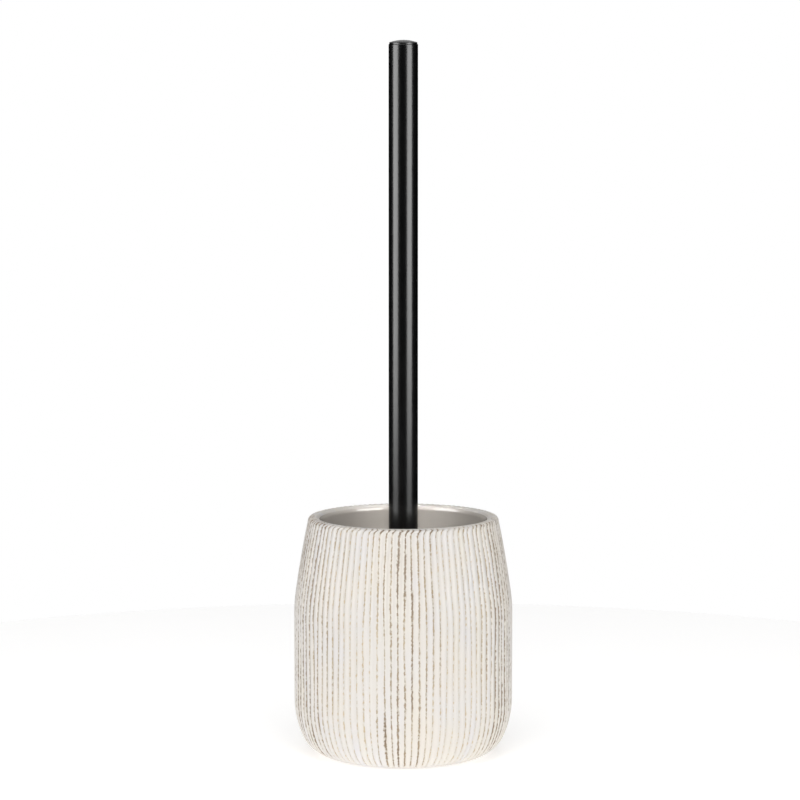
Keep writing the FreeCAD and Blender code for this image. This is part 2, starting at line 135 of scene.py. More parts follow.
# The floor is a pale disc, small enough that the tube doesn't mirror it.
shape = bmesh.new()
bmesh.ops.create_circle(shape, cap_ends=True, segments=96, radius=0.5)
floor_mesh = bpy.data.meshes.new("floor")
shape.to_mesh(floor_mesh)
shape.free()
floor = bpy.data.objects.new("floor", floor_mesh)
bpy.context.scene.collection.objects.link(floor)
paper = bpy.data.materials.new("white_paper")
paper.use_nodes = True
paper_shader = paper.node_tree.nodes["Principled BSDF"]
paper_shader.inputs["Base Color"].default_value = (0.86, 0.86, 0.86, 1)
paper_shader.inputs["Roughness"].default_value = 0.95
paper_shader.inputs["Specular IOR Level"].default_value = 0.0
paper_shader.inputs["Emission Color"].default_value = (1, 1, 1, 1)
paper_shader.inputs["Emission Strength"].default_value = 0.46
floor_mesh.materials.append(paper)

# ============================================================ the pot
# A slip-cast stoneware pot. Its outside was carved by hand, while leather-hard, with
# about a hundred upright ribs, coated matt white, and rubbed with brown in the grooves.
# The inside has a clear glossy glaze over the warm grey body.
RUB_BROWN = (0.27, 0.20, 0.13, 1)
RUB_DARK = (0.11, 0.08, 0.06, 1)
RUB_GOLD = (0.62, 0.50, 0.33, 1)
RUB_STAIN = (0.60, 0.48, 0.32, 1)
COAT_WARM = (0.74, 0.705, 0.635, 1)
COAT_COOL = (0.71, 0.698, 0.715, 1)
COAT_CREAM = (0.765, 0.705, 0.62, 1)
GLAZE_DARK = (0.71, 0.66, 0.60, 1)
GLAZE_LIGHT = (0.77, 0.725, 0.67, 1)
FOOT_DARK = (0.42, 0.33, 0.24, 1)
FOOT_LIGHT = (0.60, 0.51, 0.40, 1)


def maths(tree, operation, *feeds):
    """One Math node; the same call serves materials and geometry."""
    return node(tree, "ShaderNodeMath", dict(enumerate(feeds)), operation=operation).outputs[0]


def ramp(tree, feed, *stops):
    """A value put through a colour ramp whose stops are (place, level)."""
    made = node(tree, "ShaderNodeValToRGB", {0: feed})
    made.color_ramp.elements[0].position = stops[0][0]
    made.color_ramp.elements[1].position = stops[-1][0]
    for place, level in stops[1:-1]:
        made.color_ramp.elements.new(place)
    for element, (place, level) in zip(made.color_ramp.elements, stops):
        element.color = (level, level, level, 1)
    return made.outputs[0]


def blend(tree, part, first, second):
    """Mix two colours: part 0 gives the first, part 1 the second."""
    return node(tree, "ShaderNodeMix", {0: part, 6: first, 7: second}, data_type="RGBA").outputs[2]


def grain(tree, spacing, stretch=(1, 1, 1), detail=2.0, rough=0.5):
    """Noise over the object's own coordinates, one blob every spacing metres."""
    place = node(tree, "ShaderNodeTexCoord").outputs["Object"]
    scaled = node(tree, "ShaderNodeMapping", {"Vector": place, "Scale": stretch}).outputs[0]
    return node(tree, "ShaderNodeTexNoise", {"Vector": scaled, "Scale": 1 / spacing, "Detail": detail,
                                             "Roughness": rough}).outputs[0]


def bump(tree, height, depth, strength=1.0):
    """A bump of some depth in metres."""
    return node(tree, "ShaderNodeBump",
                {"Height": height, "Distance": depth, "Strength": strength}).outputs[0]


def finish_of(name, **levels):
    """A new material and its shader, with the given levels set on the shader itself."""
    material = bpy.data.materials.new(name)
    material.use_nodes = True
    shader = material.node_tree.nodes["Principled BSDF"]
    for level, number in levels.items():
        shader.inputs[level.replace("_", " ")].default_value = number
    return material, material.node_tree, shader


carved, tree, shader = finish_of("carved_white_stoneware")
rise = node(tree, "ShaderNodeAttribute", attribute_name="rise").outputs["Fac"]
# The rub attribute is the brown rub in the grooves, with painted shade added in six bands and on the left and
# right flanks.
rub_and_shade = node(tree, "ShaderNodeAttribute", attribute_name="rub_and_shade").outputs["Fac"]
tint = node(tree, "ShaderNodeAttribute", attribute_name="tint").outputs["Fac"]
streaks = grain(tree, 0.0016, stretch=(1, 1, 0.18), detail=3.0, rough=0.6)
dots = grain(tree, 0.0013, stretch=(1, 1, 0.75), detail=1.5)
patches = grain(tree, 0.022, stretch=(1, 1, 0.8))
# The white coat covers the crests and thins out towards the grooves, in streaks and beads.
edge = maths(tree, "ADD", rise, maths(tree, "MULTIPLY", maths(tree, "SUBTRACT", streaks, 0.5), 0.45))
beads = maths(tree, "MULTIPLY_ADD", rise, -1.6, 2.2)
edge = maths(tree, "ADD", edge, maths(tree, "MULTIPLY", maths(tree, "SUBTRACT", dots, 0.5), beads))
reach = maths(tree, "MULTIPLY_ADD", rub_and_shade, -0.62, 0.36)
coat = ramp(tree, maths(tree, "ADD", edge, reach), (0.06, 0.0), (0.26, 0.66), (0.50, 1.0))
# The rub, with its painted shade, is gold where there is little of it, brown where there is more, and dark in
# pits.
clay = blend(tree, ramp(tree, rub_and_shade, (0.35, 0.0), (0.85, 1.0)), RUB_GOLD, RUB_BROWN)
deep = maths(tree, "MULTIPLY", ramp(tree, rise, (0.0, 1.0), (0.24, 0.0)),
             ramp(tree, dots, (0.42, 0.0), (0.58, 1.0)))
clay = blend(tree, deep, clay, RUB_DARK)
white = blend(tree, tint, COAT_WARM, COAT_COOL)
creamy = maths(tree, "MULTIPLY", ramp(tree, patches, (0.35, 0.0), (0.7, 1.0)), 0.5)
white = blend(tree, creamy, white, COAT_CREAM)
# A tan stain runs a little way up the flanks of the grooves that hold the most brown.
stain = maths(tree, "MULTIPLY", ramp(tree, rise, (0.15, 1.0), (0.66, 0.0)),
              ramp(tree, rub_and_shade, (0.32, 0.0), (0.85, 1.0)))
white = blend(tree, maths(tree, "MULTIPLY", stain, 0.42), white, RUB_STAIN)
tree.links.new(blend(tree, coat, clay, white), shader.inputs["Base Color"])
tree.links.new(maths(tree, "MULTIPLY_ADD", dots, -0.2, 0.62), shader.inputs["Roughness"])
skin = maths(tree, "ADD", maths(tree, "MULTIPLY", streaks, 0.6), maths(tree, "MULTIPLY", dots, 0.4))
tree.links.new(bump(tree, skin, depth=0.00012, strength=0.8), shader.inputs["Normal"])

glazed, tree, shader = finish_of("inner_glaze", Roughness=0.16, Coat_Weight=0.6, Coat_Roughness=0.05)
clouds = grain(tree, 0.03, stretch=(1, 1, 1.5), detail=3.0, rough=0.55)
glaze = blend(tree, ramp(tree, clouds, (0.3, 0.0), (0.7, 1.0)), GLAZE_DARK, GLAZE_LIGHT)
tree.links.new(glaze, shader.inputs["Base Color"])
tree.links.new(bump(tree, clouds, depth=0.0006, strength=0.6), shader.inputs["Normal"])

bare, tree, shader = finish_of("bare_foot_clay", Roughness=0.85)
sand = grain(tree, 0.0009, detail=4.0, rough=0.65)
tree.links.new(blend(tree, sand, FOOT_DARK, FOOT_LIGHT), shader.inputs["Base Color"])
tree.links.new(bump(tree, sand, depth=0.0002, strength=0.8), shader.inputs["Normal"])

# The half section, from the middle of the recess underneath, out, up, over the rim, down
# the inside and back to the middle of the floor.
BELLY = pot_high.x
BASE = pot_low.z
TOP = pot_high.z
WALL = 0.007
FOOT_ARC = 0.0188
FLANK_ARC = 0.050
FLANK_TURN = math.radians(24)
BELLY_LENGTH = 0.047
SHOULDER_ARC = 0.090
SHOULDER_TURN = math.radians(7.9)
NECK_ARC = 0.600
RIM_OUTER_ROUND = 0.0021
RIM_INNER_ROUND = 0.003
FOOT_RING = 0.004
PAD_RECESS = 0.0015
# How deep the grooves are cut on top of the rim, by the distance in from its outer rounding.
RIM_TOP_CARVING = ((0.0004, 1.0), (0.0009, 0.9), (0.0014, 0.6), (0.0019, 0.2), (0.0021, 0.0))
# What a point of the half section belongs to.
OUTSIDE = 0.0
INSIDE = 1.0
UNDERSIDE = 2.0
# Rows of the rim's inner rounding that the glaze laps over.
GLAZE_LAP = 5
BELLY_ROWS = 27

foot_flat = BELLY - FLANK_ARC * (1 - math.cos(FLANK_TURN)) - FOOT_ARC * math.cos(FLANK_TURN)
belly_low = BASE + FOOT_ARC * (1 - math.sin(FLANK_TURN)) + FLANK_ARC * math.sin(FLANK_TURN)
belly_high = belly_low + BELLY_LENGTH
neck_x = BELLY - SHOULDER_ARC - (NECK_ARC - SHOULDER_ARC) * math.cos(SHOULDER_TURN)
neck_z = belly_high - (NECK_ARC - SHOULDER_ARC) * math.sin(SHOULDER_TURN)


def rim_round(radius, arc):
    """Centre of a rim rounding that touches the top and the wall of the given neck arc."""
    level = TOP - radius - neck_z
    reach_out = math.sqrt(arc**2 - level**2)
    return neck_x + reach_out, TOP - radius, math.atan2(level, reach_out)


outer_x, outer_z, outer_turn = rim_round(RIM_OUTER_ROUND, NECK_ARC - RIM_OUTER_ROUND)
inner_x, inner_z, inner_turn = rim_round(RIM_INNER_ROUND, NECK_ARC - WALL + RIM_INNER_ROUND)
section = []


def along_arc(centre, radius, first, last, spacing, facing, relief=None):
    """Add the points of one arc of the half section; facing is +1 outside and -1 inside."""
    steps = max(1, round(abs(last - first) * radius / spacing))
    for step in range(steps + 1):
        turn = first + (last - first) * step / steps
        way = (math.cos(turn), math.sin(turn))
        point = (centre[0] + radius * way[0], centre[1] + radius * way[1])
        if section and math.dist(point, section[-1][0]) < 1e-6:
            continue
        carving = relief(turn) if relief else float(facing > 0)
        section.append((point, (way[0] * facing, way[1] * facing), carving,
                        INSIDE if facing < 0 else OUTSIDE))


def eased(value, low, high):
    """0 below low, 1 above high, smooth between."""
    part = min(1.0, max(0.0, (value - low) / (high - low)))
    return part * part * (3 - 2 * part)


ring_inner = foot_flat - FOOT_RING
for point in ((0, BASE + PAD_RECESS), (ring_inner / 2, BASE + PAD_RECESS), (ring_inner, BASE + PAD_RECESS),
              (ring_inner, BASE), (foot_flat, BASE)):
    section.append((point, (0, -1), 0.0, UNDERSIDE))
along_arc((foot_flat, BASE + FOOT_ARC), FOOT_ARC, -math.pi / 2, -FLANK_TURN, spacing=0.0016, facing=1,
          relief=lambda turn: eased(turn, math.radians(-82), math.radians(-52)))
along_arc((BELLY - FLANK_ARC, belly_low), FLANK_ARC, -FLANK_TURN, 0, spacing=0.0017, facing=1)
for step in range(1, BELLY_ROWS + 1):
    section.append(((BELLY, belly_low + BELLY_LENGTH * step / BELLY_ROWS), (1, 0), 1.0, OUTSIDE))
along_arc((BELLY - SHOULDER_ARC, belly_high), SHOULDER_ARC, 0, SHOULDER_TURN, spacing=0.0018, facing=1)
along_arc((neck_x, neck_z), NECK_ARC, SHOULDER_TURN, outer_turn, spacing=0.0018, facing=1)
along_arc((outer_x, outer_z), RIM_OUTER_ROUND, outer_turn, math.pi / 2, spacing=0.0004, facing=1)
for inward, carving in RIM_TOP_CARVING:
    section.append(((outer_x - inward, TOP), (0, 1), carving, OUTSIDE))
along_arc((inner_x, inner_z), RIM_INNER_ROUND, math.pi / 2, math.pi + inner_turn, spacing=0.0006, facing=1,
          relief=lambda turn: 0.0)
rim_end = len(section)
along_arc((neck_x, neck_z), NECK_ARC - WALL, inner_turn, SHOULDER_TURN, spacing=0.006, facing=-1)
along_arc((BELLY - SHOULDER_ARC, belly_high), SHOULDER_ARC - WALL, SHOULDER_TURN, 0, spacing=0.006, facing=-1)
along_arc((BELLY - FLANK_ARC, belly_low), FLANK_ARC - WALL, 0, -FLANK_TURN, spacing=0.005, facing=-1)
along_arc((foot_flat, BASE + FOOT_ARC), FOOT_ARC - WALL, -FLANK_TURN, -math.pi / 2, spacing=0.0022, facing=-1)
section.append(((foot_flat / 2, BASE + WALL), (0, -1), 0.0, INSIDE))
section.append(((0, BASE + WALL), (0, -1), 0.0, INSIDE))
section = [(point, way, carving, INSIDE if index >= rim_end - GLAZE_LAP else zone)
           for index, (point, way, carving, zone) in enumerate(section)]

section_mesh = bpy.data.meshes.new("pot_section")
section_mesh.from_pydata([(p[0], 0, p[1]) for p, way, carving, zone in section],
                         [(i, i + 1) for i in range(len(section) - 1)], [])


def on_points(mesh, name, values, kind="FLOAT"):
    """Give every point of a mesh a value, or a vector whose numbers follow each other."""
    field = "vector" if kind == "FLOAT_VECTOR" else "value"
    mesh.attributes.new(name, kind, "POINT").data.foreach_set(field, values)


on_points(section_mesh, "outward", [v for p, way, carving, zone in section for v in (way[0], 0, way[1])],
          "FLOAT_VECTOR")
on_points(section_mesh, "carving", [carving for p, way, carving, zone in section])
on_points(section_mesh, "zone", [zone for p, way, carving, zone in section])


def new_tree(name, *sockets):
    """A geometry tree with a Geometry input and output, and named inputs of given kinds."""
    made = bpy.data.node_groups.new(name, "GeometryNodeTree")
    made.interface.new_socket("Geometry", in_out="INPUT", socket_type="NodeSocketGeometry")
    made.interface.new_socket("Geometry", in_out="OUTPUT", socket_type="NodeSocketGeometry")
    for label, kind in sockets:
        made.interface.new_socket(label, in_out="INPUT", socket_type=f"NodeSocket{kind}")
    return made, made.nodes.new("NodeGroupInput").outputs


def stored(tree, geometry, name, value, kind="FLOAT"):
    """Store a value on every point under a name."""
    made = node(tree, "GeometryNodeStoreNamedAttribute", {"Geometry": geometry, "Name": name},
                data_type=kind, domain="POINT")
    tree.links.new(value, next(s for s in made.inputs if s.name == "Value" and s.enabled))
    return made.outputs[0]


def grown(name, mesh, tree, inputs):
    """Run a geometry tree over a mesh with the given inputs and return the plain result."""
    raw = bpy.data.objects.new(name + "_raw", mesh)
    bpy.context.scene.collection.objects.link(raw)
    modifier = raw.modifiers.new("build", "NODES")
    modifier.node_group = tree
    for item in tree.interface.items_tree:
        if item.in_out == "INPUT" and item.name in inputs:
            modifier[item.identifier] = inputs[item.name]
    bpy.context.view_layer.update()
    ready = raw.evaluated_get(bpy.context.evaluated_depsgraph_get())
    result = bpy.data.meshes.new_from_object(ready)
    raw.modifiers.clear()
    bpy.data.objects.remove(raw)
    result.name = name
    made = bpy.data.objects.new(name, result)
    bpy.context.scene.collection.objects.link(made)
    return made


ribbing, given = new_tree("ribbed_pot", ("Ribs", "Int"), ("Steps per rib", "Int"), ("Rib depth", "Float"),
                          ("Wander", "Float"), ("Unevenness", "Float"), ("Seed", "Float"),
                          ("Outside", "Material"), ("Inside", "Material"), ("Foot", "Material"))
t = ribbing
count = node(t, "GeometryNodeAttributeDomainSize", {0: given["Geometry"]}, component="MESH").outputs[0]
columns = maths(t, "MULTIPLY", given["Ribs"], given["Steps per rib"])
last_row = maths(t, "SUBTRACT", count, 1)
sheet = node(t, "GeometryNodeMeshGrid", {0: 1.0, 1: 1.0, 2: maths(t, "ADD", columns, 1), 3: count})
across = node(t, "ShaderNodeSeparateXYZ", {0: node(t, "GeometryNodeInputPosition").outputs[0]})
column = maths(t, "ROUND", maths(t, "MULTIPLY", maths(t, "ADD", across.outputs[0], 0.5), columns))
column = maths(t, "FLOORED_MODULO", column, columns)
row = maths(t, "ROUND", maths(t, "MULTIPLY", maths(t, "ADD", across.outputs[1], 0.5), last_row))


def sampled(kind, name=None):
    """A value of the half section at this row."""
    source = (node(t, "GeometryNodeInputNamedAttribute", {"Name": name}, data_type=kind).outputs[0]
              if name else node(t, "GeometryNodeInputPosition").outputs[0])
    made = node(t, "GeometryNodeSampleIndex", {"Geometry": given["Geometry"]}, data_type=kind, domain="POINT")
    t.links.new(source, next(s for s in made.inputs if s.name == "Value" and s.enabled))
    t.links.new(row, made.inputs["Index"])
    return next(s for s in made.outputs if s.enabled)


spot = node(t, "ShaderNodeSeparateXYZ", {0: sampled("FLOAT_VECTOR")})
way = node(t, "ShaderNodeSeparateXYZ", {0: sampled("FLOAT_VECTOR", "outward")})
carving = sampled("FLOAT", "carving")
zone = sampled("FLOAT", "zone")
rib = maths(t, "FLOOR", maths(t, "DIVIDE", maths(t, "ADD", column, 0.25), given["Steps per rib"]))
part = maths(t, "DIVIDE", maths(t, "SUBTRACT", column, maths(t, "MULTIPLY", rib, given["Steps per rib"])),
             given["Steps per rib"])
# Columns stand closer together at the grooves than on the crests.
BUNCHING = 0.8
bunched = maths(t, "MULTIPLY", maths(t, "SINE", maths(t, "MULTIPLY", part, math.tau)), BUNCHING / math.tau)
part = maths(t, "SUBTRACT", part, bunched)
rib_place = maths(t, "ADD", rib, part)
turn = maths(t, "MULTIPLY", maths(t, "DIVIDE", rib_place, given["Ribs"]), math.tau)


def on_cylinder(turn_of, around, along, shift):
    """Noise, mostly from -1 to 1, over the pot's side: around and along are spacings in metres."""
    place = node(t, "ShaderNodeCombineXYZ", {
        0: maths(t, "MULTIPLY", maths(t, "COSINE", turn_of), BELLY / around),
        1: maths(t, "MULTIPLY", maths(t, "SINE", turn_of), BELLY / around),
        2: maths(t, "ADD", maths(t, "DIVIDE", spot.outputs[2], along),
                 maths(t, "MULTIPLY", given["Seed"], shift))}).outputs[0]
    made = node(t, "ShaderNodeTexNoise", {"Vector": place, "Scale": 1.0, "Detail": 1.0}).outputs[0]
    return maths(t, "MULTIPLY", maths(t, "SUBTRACT", made, 0.5), 3.0)


def ranged(feed, low, high, at_low, at_high):
    """A value that goes from at_low to at_high while the feed goes from low to high."""
    return node(t, "ShaderNodeMapRange", {0: feed, 1: low, 2: high, 3: at_low, 4: at_high}).outputs[0]


# The hand that carved the ribs let them wander, left some wider than others, and shook.
rib_turn = maths(t, "DIVIDE", math.tau, given["Ribs"])
slow = maths(t, "MULTIPLY", on_cylinder(turn, around=0.030, along=0.070, shift=1.0), given["Wander"])
quick = maths(t, "MULTIPLY", on_cylinder(turn, around=0.0048, along=0.060, shift=2.0), given["Unevenness"])
shake = maths(t, "MULTIPLY", on_cylinder(turn, around=0.0060, along=0.009, shift=3.0), 0.025)
shift = maths(t, "MULTIPLY", maths(t, "ADD", maths(t, "ADD", slow, quick), shake), rib_turn)
shift = maths(t, "MULTIPLY", shift, maths(t, "LESS_THAN", zone, (INSIDE + UNDERSIDE) / 2))
# The grooves lean over by half a rib as they run out on top of the rim.
lean = maths(t, "MULTIPLY", ranged(spot.outputs[2], TOP - 0.0022, TOP - 0.0002, 0.0, 0.5), carving)
final = maths(t, "ADD", maths(t, "ADD", turn, maths(t, "MULTIPLY", lean, rib_turn)), shift)
# A rib is a low rounded bar; a groove is a V between two of them, cut deeper here and there.
out = maths(t, "ABSOLUTE", maths(t, "MULTIPLY_ADD", part, 2.0, -1.0))
crown = maths(t, "SUBTRACT", 1.0, maths(t, "POWER", out, 2.1))
cut = maths(t, "MULTIPLY", maths(t, "SUBTRACT", 1.0, crown), carving)
groove_turn = maths(t, "MULTIPLY", maths(t, "DIVIDE", maths(t, "ROUND", rib_place), given["Ribs"]), math.tau)
bite = on_cylinder(groove_turn, around=0.0040, along=0.028, shift=4.0)
bite = maths(t, "MULTIPLY_ADD", bite, 0.42, 0.92)
bite = maths(t, "MINIMUM", maths(t, "MAXIMUM", bite, 0.30), 1.25)
carved_in = maths(t, "MULTIPLY", cut, maths(t, "MULTIPLY", bite, given["Rib depth"]))
UNEVEN_CREST = 0.00003
worn = maths(t, "ADD", on_cylinder(turn, around=0.004, along=0.010, shift=5.0), 1.5)
crest = maths(t, "MULTIPLY", maths(t, "MULTIPLY", worn, UNEVEN_CREST), carving)
drop = maths(t, "MULTIPLY", maths(t, "ADD", carved_in, crest), -1.0)
radius = maths(t, "MULTIPLY_ADD", way.outputs[0], drop, spot.outputs[0])
height = maths(t, "MULTIPLY_ADD", way.outputs[2], drop, spot.outputs[2])
place = node(t, "ShaderNodeCombineXYZ", {0: maths(t, "MULTIPLY", radius, maths(t, "COSINE", final)),
                                         1: maths(t, "MULTIPLY", radius, maths(t, "SINE", final)), 2: height})
risen = maths(t, "SUBTRACT", 1.0, cut)
# How strongly each groove holds the brown rub: groove by groove, in broad patches, and more again up at the
# rim.
# In six bands round the pot, one of them facing the lens, and more on its left and right flanks, the added
# brown is painted shade: it darkens the grooves where the side lights leave them in shade, straight on to the
# lens and at the grazing sides, and leaves them paler between, where the side boxes shine on them.
SHADE_BANDS = 6.0
RUBBED = 0.52
own = maths(t, "MULTIPLY", on_cylinder(groove_turn, around=0.0035, along=0.045, shift=6.0), 0.28)
broad_rub_and_shade = maths(t, "MULTIPLY", on_cylinder(turn, around=0.034, along=0.070, shift=7.0), 0.20)
# Painted shade in the grooves: six bands, one of them facing the lens, and the left and right flanks as the
# lens sees them.
banded_shade = maths(t, "COSINE", maths(t, "MULTIPLY", maths(t, "ADD", turn, math.pi / 2), SHADE_BANDS))
flank_shade = ranged(maths(t, "ABSOLUTE", maths(t, "COSINE", turn)), 0.74, 0.86, -1.0, 1.9)
broad_rub_and_shade = maths(t, "MULTIPLY_ADD", maths(t, "MAXIMUM", banded_shade, flank_shade), 0.24, broad_rub_and_shade)
at_rim = ranged(spot.outputs[2], TOP - 0.0032, TOP - 0.0010, 0.0, 0.22)
# The real rub and the painted shade of the bands and flanks go into one value, stored as the rub attribute.
rub_with_shade = maths(t, "ADD", maths(t, "ADD", own, broad_rub_and_shade), maths(t, "ADD", at_rim, RUBBED))
# Each rib's coat is a little warmer or cooler than the next one's.
rib_middle = maths(t, "MULTIPLY", maths(t, "DIVIDE", maths(t, "ADD", rib, 0.5), given["Ribs"]), math.tau)
tinted = maths(t, "MULTIPLY", on_cylinder(rib_middle, around=0.005, along=0.050, shift=8.0), 0.5)
tinted = maths(t, "ADD", tinted, 0.45)
geometry = stored(t, sheet.outputs[0], "zone", zone)
geometry = stored(t, geometry, "rise", risen)
geometry = stored(t, geometry, "rub_and_shade", rub_with_shade)
geometry = stored(t, geometry, "tint", tinted)
geometry = node(t, "GeometryNodeSetPosition", {"Geometry": geometry, "Position": place.outputs[0]}).outputs[0]
# The first and last columns meet, and so do all the points on the axis.
geometry = node(t, "GeometryNodeMergeByDistance", {"Geometry": geometry, "Distance": 2e-6}).outputs[0]
geometry = node(t, "GeometryNodeRealizeInstances", {"Geometry": geometry}).outputs[0]
at_zone = node(t, "GeometryNodeInputNamedAttribute", {"Name": "zone"}, data_type="FLOAT").outputs[0]
for finish, over_zone in (("Outside", OUTSIDE - 0.5), ("Inside", 0.6), ("Foot", 1.4)):
    geometry = node(t, "GeometryNodeSetMaterial", {
        "Geometry": geometry, "Material": given[finish],
        "Selection": maths(t, "GREATER_THAN", at_zone, over_zone)}).outputs[0]
node(t, "NodeGroupOutput", {0: geometry})

pot = grown("ribbed_pot", section_mesh, ribbing, {
    "Ribs": 97, "Steps per rib": 7, "Rib depth": 0.00076, "Wander": 0.15, "Unevenness": 0.20, "Seed": 17.0,
    "Outside": carved, "Inside": glazed, "Foot": bare})
pot.data.attributes.remove(pot.data.attributes["zone"])


def outside_out(mesh):
    """Turn the faces of a closed shell outwards."""
    shell = bmesh.new()
    shell.from_mesh(mesh)
    if shell.calc_volume(signed=True) < 0:
        bmesh.ops.reverse_faces(shell, faces=shell.faces)
    shell.to_mesh(mesh)
    shell.free()


def smoothed(mesh, degrees):
    """Shade smooth, with sharp edges where faces meet at more than some degrees."""
    mesh.shade_smooth()
    mesh.set_sharp_from_angle(angle=math.radians(degrees))


outside_out(pot.data)
smoothed(pot.data, 50)
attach(pot, "holder")
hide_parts("holder_pot")

# ============================================================ the foot pads
# Four round self-adhesive pads of clear grey rubber, stuck in the recess under the pot so
# that the foot ring stands half a millimetre off the floor.
rubber, tree, shader = finish_of("clear_grey_rubber", Roughness=0.42, Subsurface_Weight=0.15)
haze = grain(tree, 0.003)
tree.links.new(blend(tree, haze, (0.46, 0.46, 0.44, 1), (0.56, 0.56, 0.54, 1)), shader.inputs["Base Color"])
tree.links.new(bump(tree, grain(tree, 0.0006), depth=0.00003, strength=0.6), shader.inputs["Normal"])


def refinish(name, material):
    """Give a CAD node its material."""
    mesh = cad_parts[name].data
    mesh.materials.clear()
    mesh.materials.append(material)


for name in sorted(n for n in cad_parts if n.startswith("foot_pad")):
    refinish(name, rubber)

# ============================================================ the brush core
# The core of the head, moulded in black polypropylene with a domed end and a neck, and
# drilled with one hole for each tuft.
moulded, tree, shader = finish_of("moulded_black", Roughness=0.36)
orange_peel = grain(tree, 0.0009)
tree.links.new(blend(tree, grain(tree, 0.012), (0.012, 0.012, 0.013, 1), (0.022, 0.022, 0.023, 1)),
               shader.inputs["Base Color"])
tree.links.new(maths(tree, "MULTIPLY_ADD", orange_peel, 0.2, 0.28), shader.inputs["Roughness"])
tree.links.new(bump(tree, orange_peel, depth=0.00004, strength=0.7), shader.inputs["Normal"])
refinish("brush_core", moulded)

# ============================================================ the tufts
# Each tuft is a bunch of black nylon filaments, folded in two over a small steel anchor
# that is driven with it into its hole, then trimmed with the others to one outline.
nylon, tree, shader = finish_of("black_nylon_filament", Roughness=0.38)
tree.links.new(blend(tree, grain(tree, 0.002, rough=0.6), (0.012, 0.012, 0.013, 1), (0.045, 0.045, 0.047, 1)),
               shader.inputs["Base Color"])
anchor, tree, shader = finish_of("anchor_strip", Roughness=0.34, Metallic=1.0)
scratches = grain(tree, 0.0004, stretch=(1, 1, 6))
tree.links.new(blend(tree, scratches, (0.50, 0.50, 0.49, 1), (0.66, 0.66, 0.64, 1)),
               shader.inputs["Base Color"])
tree.links.new(maths(tree, "MULTIPLY_ADD", grain(tree, 0.0005), 0.25, 0.22), shader.inputs["Roughness"])
for name in sorted(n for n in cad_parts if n.startswith("anchors")):
    refinish(name, anchor)

brushing, given = new_tree("tufts", ("Filaments per tuft", "Int"), ("Filament radius", "Float"),
                           ("Root radius", "Float"), ("Tip radius", "Float"), ("Curl", "Float"),
                           ("Seed", "Int"), ("Material", "Material"))
t = brushing
many = node(t, "GeometryNodeDuplicateElements", {"Geometry": given["Geometry"],
                                                 "Amount": given["Filaments per tuft"]}, domain="POINT")
order = many.outputs["Duplicate Index"]


def named(name, kind="FLOAT"):
    """A value that the points carry under a name."""
    return node(t, "GeometryNodeInputNamedAttribute", {"Name": name}, data_type=kind).outputs[0]


def chance(low, high, shift):
    """A random number for each filament."""
    return node(t, "FunctionNodeRandomValue", {2: low, 3: high, "Seed": maths(t, "ADD", given["Seed"], shift)},
                data_type="FLOAT").outputs[1]


def vectors(operation, *feeds):
    """One Vector Math node; SCALE takes a vector and a number."""
    places = (0, "Scale") if operation == "SCALE" else (0, 1)
    made = node(t, "ShaderNodeVectorMath", dict(zip(places, feeds)), operation=operation)
    return made.outputs[1 if operation == "LENGTH" else 0]


# The filaments fill a round bundle in a sunflower's order, each one golden angle on.
GOLDEN_ANGLE = 2.399963
ASKEW = (0.267, 0.535, 0.802)
aim = named("aim", "FLOAT_VECTOR")
side = vectors("NORMALIZE", vectors("CROSS_PRODUCT", aim, ASKEW))
over = vectors("CROSS_PRODUCT", aim, side)
spin = maths(t, "ADD", maths(t, "MULTIPLY", order, GOLDEN_ANGLE), named("phase"))
share = maths(t, "SQRT", maths(t, "DIVIDE", maths(t, "ADD", order, 0.5), given["Filaments per tuft"]))
ring = vectors("ADD", vectors("SCALE", side, maths(t, "COSINE", spin)),
               vectors("SCALE", over, maths(t, "SINE", spin)))
fans = maths(t, "MULTIPLY", share, chance(low=0.72, high=1.0, shift=1))
trimmed = maths(t, "MULTIPLY", named("reach"), chance(low=0.965, high=0.999, shift=2))
foot = vectors("SCALE", ring, maths(t, "MULTIPLY", share, given["Root radius"]))
tip = vectors("ADD", vectors("SCALE", aim, trimmed),
              vectors("SCALE", ring, maths(t, "MULTIPLY", fans, given["Tip radius"])))
span = vectors("SUBTRACT", tip, foot)
points = stored(t, many.outputs[0], "bend", ring, "FLOAT_VECTOR")
points = stored(t, points, "curl", chance(low=-1.0, high=1.0, shift=3))
points = node(t, "GeometryNodeSetPosition", {"Geometry": points, "Offset": foot}).outputs[0]
strand = node(t, "GeometryNodeMeshCylinder", {
    "Vertices": 3, "Side Segments": 4, "Radius": given["Filament radius"], "Depth": 1.0}).outputs[0]
strand = node(t, "GeometryNodeTransform", {"Geometry": strand, "Translation": (0, 0, 0.5)}).outputs[0]
upwards = node(t, "ShaderNodeSeparateXYZ", {0: node(t, "GeometryNodeInputPosition").outputs[0]}).outputs[2]
strand = stored(t, strand, "along", upwards)
size = node(t, "ShaderNodeCombineXYZ", {0: 1.0, 1: 1.0, 2: vectors("LENGTH", span)}).outputs[0]
slant = node(t, "FunctionNodeAlignRotationToVector", {"Vector": span}, axis="Z").outputs[0]
bunch = node(t, "GeometryNodeInstanceOnPoints", {
    "Points": points, "Instance": strand, "Rotation": slant, "Scale": size}).outputs[0]
bunch = node(t, "GeometryNodeRealizeInstances", {"Geometry": bunch}).outputs[0]
# Each filament bows out or in, most at its middle.
bowed = maths(t, "MULTIPLY", maths(t, "MULTIPLY", named("along"), maths(t, "SUBTRACT", 1.0, named("along"))),
              maths(t, "MULTIPLY", named("curl"), given["Curl"]))
bowed = vectors("SCALE", named("bend", "FLOAT_VECTOR"), bowed)
bunch = node(t, "GeometryNodeSetPosition", {"Geometry": bunch, "Offset": bowed}).outputs[0]
bunch = node(t, "GeometryNodeSetMaterial", {"Geometry": bunch, "Material": given["Material"]}).outputs[0]
node(t, "NodeGroupOutput", {0: bunch})

core_low, core_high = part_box("brush_core")
dome_centre = core_low.z + core_high.x


